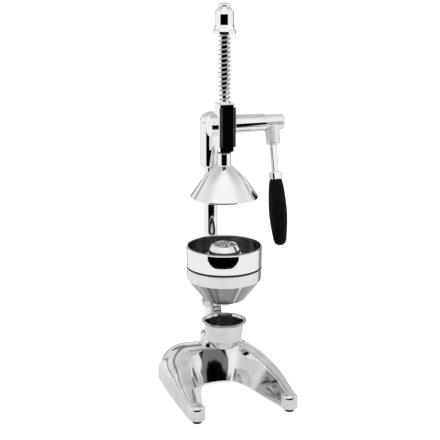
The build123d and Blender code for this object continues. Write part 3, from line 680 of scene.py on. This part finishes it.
# Inside the bowl: painted shade with painted highlights; the rim's outer edge: a painted dark
# reflection line
paint_faces(bowl_piece, inner_steel_painted_shade, inside_bowl)
paint_faces(bowl_piece, edge_steel_painted_reflection, bowl_lip)
dress(bowl_piece, "bowl", "polished_steel", "strainer_bowl")

REAMER_FLOOR = 170.0
reamer_outline = [
    (26.0, 0.0, 0.3), (26.0, 1.2, 0.5), (22.2, 1.2, 1.4), (19.6, 10.1, 0.3), (20.8, 10.1, 0.5),
    (20.8, 12.5, 0.5), (19.2, 12.5, 0.3), (19.2, 17.5, 3.0), (15.2, 24.0, 1.4), (6.0, 25.3, 8.0),
    (0.0, 25.6), (0.0, 24.4), (6.0, 24.1, 7.0), (14.0, 22.8, 0.4), (18.0, 17.0, 2.4),
    (18.0, 12.5), (18.4, 10.1), (21.0, 0.0),
]
reamer = turned(
    [(r, z + REAMER_FLOOR, *rounding) for r, z, *rounding in reamer_outline], press, 160
)
reamer_piece = make("reamer", reamer, reamer_steel)
sieve = [
    hole for radius, count in ((0.0, 1), (5.0, 6), (10.0, 12))
    for hole in ring_of_holes(radius, count, 1.4, 186.0, 198.0)
]
carve(reamer_piece, merged(*sieve))


def inside_reamer(centre, normal):
    """Whether a face of the reamer is a wall of a hole or looks inwards."""
    outwards = (centre - press.translation).xy.normalized()
    hole_wall = abs(normal.z) < 0.3 and from_axis(centre, press) < 13 and centre.z > 187.8 * MM
    return hole_wall or normal.z < -0.4 or normal.xy.dot(outwards) < -0.5


def sieve_top(centre, normal):
    """Whether a face of the reamer is on its perforated top."""
    return from_axis(centre, press) < 15 and centre.z > 193.4 * MM


# The reamer's top: painted reflections; its hole walls, underside and inward faces: painted shade
paint_faces(reamer_piece, sieve_steel_painted_reflections, sieve_top)
paint_faces(reamer_piece, inner_steel_painted_shade, inside_reamer)
dress(reamer_piece, "reamer", "polished_steel", "reamer_dome")


# Drip cup and its arm ---------------------------------------------------------------

cup = turned(
    [
        (0.0, 61.5), (12.0, 61.5, 5.0), (21.8, 71.0, 9.0), (24.0, 94.0, 1.2), (27.7, 96.0, 0.4),
        (27.7, 97.0, 0.4), (24.0, 97.0, 1.2), (23.0, 94.0, 1.2), (20.8, 71.5, 8.0),
        (11.5, 62.5, 4.0), (0.0, 62.5),
    ],
    press, 160,
)
cup_piece = make("cup", cup, cup_steel)
above_cup = press.translation + Vector((0, 0, 120.0)) * MM


def inside_cup(centre, normal):
    """Whether a face of the cup looks into it below the rim."""
    return 62.2 * MM < centre.z < 94.6 * MM and normal.dot(centre - above_cup) < 0


def cup_lip(centre, normal):
    """Whether a face of the cup is on the outer edge of its rolled rim."""
    return from_axis(centre, press) > 26.6 and 95.2 * MM < centre.z < 96.8 * MM


# Inside the cup: painted shade with painted highlights; the lip's outer edge: a painted dark
# reflection line
paint_faces(cup_piece, inner_steel_painted_shade, inside_cup)
paint_faces(cup_piece, edge_steel_painted_reflection, cup_lip)
dress(cup_piece, "drip_cup", "polished_steel", "drip_cup")
paint("cup_arm", clamp_chrome)
paint("cup_rivets", screw_steel)


# Lever ------------------------------------------------------------------------------

hub = turned(
    [(6.0, 55.1), (9.6, 55.1, 0.6), (9.6, 80.0, 4.5), (0.0, 80.0), (0.0, 74.6), (6.0, 74.6)], shaft
)
elbow = turned(
    [(0.0, 0.0), (9.25, 0.0), (8.5, -28.0, 3.0), (4.5, -28.0), (4.5, -12.0), (0.0, -12.0)], lever
)
lever_hub = make("elbow", merged(hub, elbow), satin_cast)
dress(lever_hub, "lever", "polished_chrome", "lever_hub")
rod = turned([(0.0, -129.6), (4.5, -129.6, 0.5), (4.5, -12.0), (0.0, -12.0)], lever, 96)
dress(make("rod", rod, rod_chrome), "lever", "polished_chrome", "lever_rod")
ferrule = turned(
    [
        (4.5, -69.6), (8.0, -69.6, 0.6), (8.0, -60.3, 1.6), (5.7, -60.3, 0.3), (5.7, -61.5),
        (4.5, -61.5),
    ],
    lever, 96,
)
dress(make("collar", ferrule, bright_chrome), "lever", "polished_chrome", "ferrule")

GRIP_START, GRIP_LENGTH = 69.6, 80.7
grip_stations = [
    (0.000, 7.6), (0.030, 8.0), (0.090, 9.0), (0.200, 10.0), (0.315, 10.7), (0.430, 11.1),
    (0.545, 11.15), (0.680, 10.4), (0.810, 9.15), (0.915, 8.0), (0.962, 6.6), (0.990, 3.6),
]
grip_outline = [(0.0, -GRIP_START)] + [
    (radius, -GRIP_START - share * GRIP_LENGTH, 14.0 if 0.05 < share < 0.9 else 1.2)
    for share, radius in grip_stations
] + [(0.0, -GRIP_START - GRIP_LENGTH)]
grip = turned(grip_outline, lever)
dress(make("handle", grip, grip_plastic), "lever", "black_plastic", "grip")


# Rack, knob, spring and press cone ---------------------------------------------------

rack = turned(
    [
        (0.0, 277.5), (4.0, 277.5, 0.5), (4.0, 307.5), (5.2, 307.5), (5.2, 452.0), (4.0, 452.0),
        (4.0, 472.0), (0.0, 472.0),
    ],
    press,
)
rack_piece = make("rack", rack, rod_chrome)
TOOTH_PITCH = math.pi * 1.25
tooth_gap = [(2.5125, -0.52), (5.5, -1.61), (5.5, 1.61), (2.5125, 0.52)]
grooves = [
    slab(tooth_gap, width=12.0, rise=shaft.translation.z / MM + index * TOOTH_PITCH)
    for index in range(-3, 17)
]
carve(rack_piece, merged(*grooves))
dress(rack_piece, "press", "polished_steel", "rack_rod")

knob = turned(
    [
        (8.2, 449.0), (13.8, 449.0, 0.2), (13.75, 452.3, 0.6), (12.1, 455.0, 6.0),
        (11.2, 459.5, 14.0), (11.1, 475.6, 10.0), (6.6, 480.2, 0.5), (6.3, 480.5, 0.2),
        (6.5, 480.7, 0.2), (6.5, 484.0, 2.6), (0.0, 485.0), (0.0, 472.0), (4.0, 472.0),
        (4.0, 452.0), (8.2, 452.0),
    ],
    press,
)
dress(make("top_knob", knob, bright_chrome), "press", "polished_chrome", "knob")
washer_low, washer_high = (corner.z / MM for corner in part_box("stop_washer"))
washer = turned(
    [(5.2, washer_low), (8.4, washer_low, 0.6), (8.4, washer_high, 0.6), (5.2, washer_high)], press
)
dress(make("buffer", washer, seal_rubber), "press", "black_rubber", "stop_washer")

cone = turned(
    [
        (4.0, 307.5), (8.35, 307.5, 0.8), (8.35, 292.5, 1.6), (22.65, 280.7, 80.0),
        (40.8, 254.7, 0.5), (40.9, 252.9, 0.7), (39.3, 252.5, 0.7), (38.0, 254.1, 0.5),
        (21.0, 279.2, 78.0), (10.8, 287.5, 1.6), (4.0, 287.5),
    ],
    press, 192,
)
dress(make("cone", cone, cone_steel), "press", "polished_steel", "press_cone")

WIRE_RADIUS, COIL_RADIUS, SPRING_LOW, SPRING_HIGH, TURNS = 0.8, 6.8, 367.8, 452.0, 15.5
STEPS_PER_TURN = 40
spring = bmesh.new()
circle = bmesh.ops.create_circle(spring, segments=14, radius=WIRE_RADIUS * MM, cap_ends=False)
section = circle["verts"]
slope = math.atan((SPRING_HIGH - SPRING_LOW) / TURNS / (math.tau * COIL_RADIUS))
bmesh.ops.rotate(
    spring, cent=(0, 0, 0), matrix=Matrix.Rotation(math.pi / 2 + slope, 3, "X"), verts=section
)
start = press.translation + Vector((COIL_RADIUS, 0, SPRING_LOW + WIRE_RADIUS)) * MM
bmesh.ops.translate(spring, vec=start, verts=section)
rise = (SPRING_HIGH - SPRING_LOW - 2 * WIRE_RADIUS) / TURNS / STEPS_PER_TURN * MM
bmesh.ops.spin(
    spring, geom=spring.verts[:] + spring.edges[:], cent=press.translation, axis=(0, 0, 1),
    dvec=(0, 0, rise), angle=math.tau * TURNS, steps=round(TURNS * STEPS_PER_TURN),
    use_merge=False, use_normal_flip=False, use_duplicate=False,
)
bmesh.ops.holes_fill(spring, edges=[edge for edge in spring.edges if edge.is_boundary], sides=0)
bmesh.ops.recalc_face_normals(spring, faces=spring.faces)
spring_piece = make("spring", spring, spring_wire, sharp=50)
dress(spring_piece, "frame", "spring_steel", "return_spring")
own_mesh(spring_piece)


# Inner and small pieces that keep their shape ----------------------------------------

for node in ("foot_screws", "column_bolt", "column_washer", "boss_set_screw", "head_set_screw"):
    paint(node, screw_steel)
for node in ("holder_clamp_screw", "cone_nut", "hub_set_screw", "pinion_pin"):
    paint(node, screw_steel)
paint("shaft_bushes", bush_bronze)
paint("pinion_shaft", gear_steel)
paint("pinion_gear", gear_steel)


# Studio -----------------------------------------------------------------------------


def stage_material(name, seen, lit=0.0):
    """A plain stage surface whose own light is only what the camera and mirrors see."""
    material, finish = new_finish(name)
    diffuse = finish.node("ShaderNodeBsdfDiffuse", None, {"Color": grey(lit)})
    glow = finish.node("ShaderNodeEmission", None, {"Color": grey(seen), "Strength": 1.0})
    both = finish.node("ShaderNodeAddShader", None, {0: diffuse, 1: glow})
    finish.node("ShaderNodeOutputMaterial", None, {"Surface": both})
    return material


GREY_FLANK = 0.7


def grey_flanks(bearing):
    """How much darker it is behind the object on both sides, from bearings in radians to
    the camera's side. These bands give round bars soft grey edges."""
    right_band = bearing.step(2.06, 2.34) * (1 - bearing.step(2.75, 2.95))
    left_band = (bearing * -1).step(2.55, 2.7) * (1 - (bearing * -1).step(2.98, 3.1))
    return right_band * GREY_FLANK + left_band * GREY_FLANK


floor_mesh = bmesh.new()
bmesh.ops.create_grid(floor_mesh, x_segments=1, y_segments=1, size=14.0)
floor_material, floor_finish = new_finish("floor")
rays = floor_finish.node("ShaderNodeLightPath").socket.node.outputs
to_camera = Wire(floor_finish, rays["Is Camera Ray"])
to_mirror = Wire(floor_finish, rays["Is Glossy Ray"])
camera_turn = (0, 0, -CAMERA_HEADING)
right, back, _ = floor_finish.axes(floor_finish.place(centre=press.translation, turn=camera_turn))
reach = (right * right + back * back).math("SQRT")
floor_bearing = right.math("ARCTAN2", back * -1)
# Mirrors see the floor at 0.76 near the press rising to 0.96 beyond 300 mm, a painted shadow of the
# press, and darker in grey bands on both sides further out
far_flanks = grey_flanks(floor_bearing) * reach.step(170, 320)
floor_in_mirrors_painted_shadow = (reach.step(40, 300) * 0.2 + 0.76) * (1 - far_flanks)
matt = floor_finish.node("ShaderNodeBsdfDiffuse", None, {"Color": grey(0.86)})
glow = floor_finish.node(
    "ShaderNodeEmission", None, {"Color": grey(1.0), "Strength": to_camera * 0.6}
)
seen = floor_finish.node("ShaderNodeAddShader", None, {0: matt, 1: glow})
mirrored = floor_finish.node(
    "ShaderNodeEmission", None, {"Color": grey(1.0), "Strength": floor_in_mirrors_painted_shadow}
)
floor_surface = floor_finish.node("ShaderNodeMixShader", None, {0: to_mirror, 1: seen, 2: mirrored})
floor_finish.node("ShaderNodeOutputMaterial", None, {"Surface": floor_surface})
floor = make("floor", floor_mesh, floor_material)


def arc_wall(name, corners, left, right, shade, bow=0.0):
    """A dark wall that only mirrors see, turned about the press between two bearings
    from the camera's side, from (radius, height) corners in millimetres. Its inner edge
    bows out towards its ends by a share of its radius."""
    bm = bmesh.new()
    spots = [bm.verts.new((0, -out * MM, up * MM)) for out, up in corners]
    for first, second in zip(spots, spots[1:]):
        bm.edges.new((first, second))
    start = Matrix.Rotation(math.radians(left), 3, "Z")
    bmesh.ops.rotate(bm, cent=(0, 0, 0), matrix=start, verts=spots)
    bmesh.ops.spin(
        bm, geom=bm.verts[:] + bm.edges[:], cent=(0, 0, 0), axis=(0, 0, 1), dvec=(0, 0, 0),
        angle=math.radians(right - left), steps=48, use_merge=False, use_normal_flip=False,
        use_duplicate=False,
    )
    middle_bearing = math.radians((left + right) / 2)
    half_angle = math.radians((right - left) / 2)
    for vert in bm.verts:
        if vert.co.xy.length < (corners[0][0] + 1) * MM:
            share = (math.atan2(vert.co.x, -vert.co.y) - middle_bearing) / half_angle
            vert.co.xy *= 1 + bow * share**4
    ahead = Matrix.Translation(press.translation) @ Matrix.Rotation(-CAMERA_HEADING, 4, "Z")
    bmesh.ops.transform(bm, matrix=ahead, verts=bm.verts)
    wall = make(name, bm, stage_material(name, shade))
    wall.visible_camera = wall.visible_diffuse = wall.visible_shadow = False
    wall.visible_transmission = False


# A dark opening beyond a round white table, a dark band on both sides of it, and a dark
# card with a grey top edge close to the press
BLACK, DARK_GREY = 0.0, 0.2
TABLE_RADIUS, WALL_RADIUS, WALL_TOP = 548.0, 1350.0, 560.0
BAND_RADIUS, BAND_LOW, BAND_HIGH = 1345.0, 165.0, 306.0
CARD_RADIUS, CARD_LOW, CARD_HIGH, CARD_TOP = 340.0, 104.0, 143.0, 170.0
OPENING_LEFT, OPENING_RIGHT = -50, 43
opening = [(TABLE_RADIUS, 1.0), (WALL_RADIUS, 1.0), (WALL_RADIUS, WALL_TOP)]
band = [(BAND_RADIUS, BAND_LOW), (BAND_RADIUS, BAND_HIGH)]
arc_wall("opening", opening, OPENING_LEFT, OPENING_RIGHT, BLACK, bow=0.08)
arc_wall("left_band", band, -88, OPENING_LEFT, BLACK)
arc_wall("right_band", band, OPENING_RIGHT, 88, BLACK)
arc_wall("card", [(CARD_RADIUS, CARD_LOW), (CARD_RADIUS, CARD_HIGH)], -14, 60, BLACK)
arc_wall("card_top", [(CARD_RADIUS, CARD_HIGH), (CARD_RADIUS, CARD_TOP)], -14, 80, DARK_GREY)

world = bpy.data.worlds.new("studio")
scene.world = world
world.use_nodes = True
sky = Finish(world.node_tree)
direction = sky.node("ShaderNodeTexCoord", output="Generated")
along = (-math.sin(CAMERA_HEADING), -math.cos(CAMERA_HEADING))
dx, dy, dz = sky.axes(direction)
forward = dx * along[0] + dy * along[1]
sideways = dx * -along[1] + dy * along[0]
bearing = sideways.math("ARCTAN2", forward)
away = bearing.math("ABSOLUTE")

# Each of these darkens one part of what the metal mirrors: the upper sides, all that is
# behind the object, a thin line at the horizon there, and a beam higher up
flank = away.step(math.radians(35), math.radians(105))
upper_sides = flank * dz.step(0.3, 0.9) * 0.42
behind = (forward * -1).step(0.1, 0.7) * 0.14 * (1 - dz.step(0.6, 0.9))
horizon = dz.step(-0.012, 0.004) * (1 - dz.step(0.05, 0.1))
horizon = horizon * away.step(math.radians(100), math.radians(125))
skyline = horizon * (bearing.step(-0.4, 0.4) * 0.4 + 0.45)
beam = dz.step(0.29, 0.34) * (1 - dz.step(0.37, 0.44)) * 0.72
beam = beam * away.step(math.radians(112), math.radians(130))
low_flanks = grey_flanks(bearing) * (1 - dz.step(0.0, 0.12))
level = (1 - low_flanks) * (1 - upper_sides) * (1 - behind) * (1 - skyline) * (1 - beam)
path = sky.node("ShaderNodeLightPath")
is_glossy = Wire(sky, path.socket.node.outputs["Is Glossy Ray"])
is_camera = Wire(sky, path.socket.node.outputs["Is Camera Ray"])
plain = sky.node("ShaderNodeBackground", None, {"Color": grey(1.0), "Strength": 0.62})
studio_grey = sky.join(level, level, level)
studio = sky.node("ShaderNodeBackground", None, {"Color": studio_grey, "Strength": 1.0})
backdrop = sky.node("ShaderNodeBackground", None, {"Color": grey(1.0), "Strength": 1.0})
mirrored = sky.node("ShaderNodeMixShader", None, {0: is_glossy, 1: plain, 2: studio})
shown = sky.node("ShaderNodeMixShader", None, {0: is_camera, 1: mirrored, 2: backdrop})
sky.node("ShaderNodeOutputWorld", None, {"Surface": shown})


def soft_light(name, place, size, power):
    """A square soft light that looks at the middle of the press."""
    lamp = bpy.data.lights.new(name, "AREA")
    lamp.shape, lamp.size, lamp.energy = "SQUARE", size, power
    light = bpy.data.objects.new(name, lamp)
    scene.collection.objects.link(light)
    light.location = Vector(place)
    aim = Vector((0, 0, 0.24)) - light.location
    light.rotation_euler = aim.to_track_quat("-Z", "Y").to_euler()
    light.visible_camera = light.visible_glossy = False
    return light


soft_light("key", (-1.3, -1.5, 1.9), 1.1, 26)
soft_light("fill", (1.6, -0.9, 1.3), 1.0, 12)
soft_light("back", (0.5, 1.7, 1.6), 1.2, 12)
